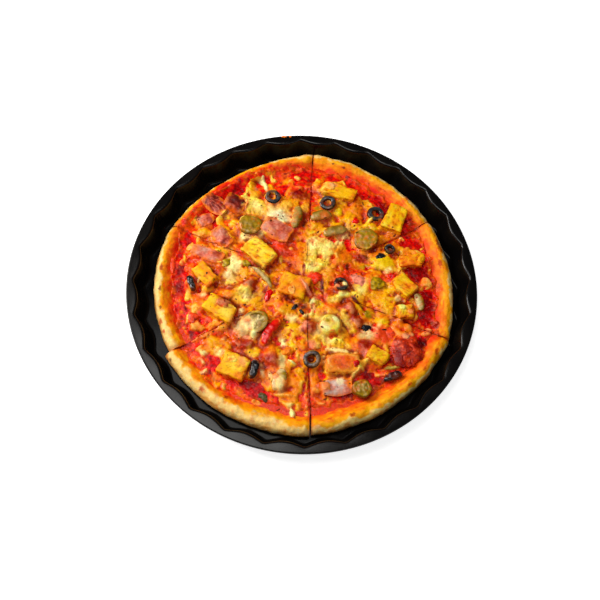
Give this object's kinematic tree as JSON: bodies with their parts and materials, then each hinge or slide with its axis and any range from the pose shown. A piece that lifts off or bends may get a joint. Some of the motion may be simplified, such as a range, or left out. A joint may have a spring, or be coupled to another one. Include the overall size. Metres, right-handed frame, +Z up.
{
  "type": "pizza in its pan",
  "caption": "Round vegetable pizza with a raised crust, cut into slices that keep its shape, resting in its own black fluted pan.",
  "frame": {"origin": "the middle of the pan's flat underside", "axes": "+Z up out of the pan, -Y towards the viewer, +X to the viewer's right"},
  "size_m": [0.296, 0.296, 0.022],
  "materials": {
    "pan": "gloss black enamel",
    "bread": "baked crust, golden with browned spots",
    "sauce": "wet tomato sauce",
    "cheese": "melted cheese, oily, browned in places",
    "paneer": "spiced paneer, yellow and satin",
    "jalapeno": "pickled jalapeno, wet",
    "olive": "black olive, wet",
    "onion": "baked red onion, translucent",
    "pepper": "baked red pepper, wet",
    "tomato": "baked tomato, wet"
  },
  "bodies": {
    "root": {"pan": "pan", "crust_1": "bread", "crust_2": "bread", "crust_3": "bread", "crust_4": "bread", "crust_5": "bread", "crust_6": "bread", "sauce_1": "sauce", "sauce_2": "sauce", "sauce_3": "sauce", "sauce_4": "sauce", "sauce_5": "sauce", "sauce_6": "sauce", "cheese_1": "cheese", "cheese_2": "cheese", "cheese_3": "cheese", "cheese_4": "cheese", "cheese_5": "cheese", "cheese_6": "cheese", "paneer_1": "paneer", "paneer_2": "paneer", "paneer_3": "paneer", "paneer_4": "paneer", "paneer_5": "paneer", "paneer_6": "paneer", "paneer_7": "paneer", "paneer_8": "paneer", "paneer_9": "paneer", "paneer_10": "paneer", "paneer_11": "paneer", "paneer_12": "paneer", "jalapeno_1": "jalapeno", "jalapeno_2": "jalapeno", "jalapeno_3": "jalapeno", "jalapeno_4": "jalapeno", "jalapeno_5": "jalapeno", "jalapeno_6": "jalapeno", "jalapeno_7": "jalapeno", "jalapeno_8": "jalapeno", "jalapeno_9": "jalapeno", "jalapeno_10": "jalapeno", "jalapeno_11": "jalapeno", "olive_1": "olive", "olive_2": "olive", "olive_3": "olive", "olive_4": "olive", "olive_5": "olive", "olive_6": "olive", "olive_7": "olive", "olive_8": "olive", "olive_9": "olive", "onion_1": "onion", "onion_2": "onion", "onion_3": "onion", "onion_4": "onion", "onion_5": "onion", "onion_6": "onion", "onion_7": "onion", "pepper_1": "pepper", "tomato_1": "tomato"}
  },
  "joints": []
}
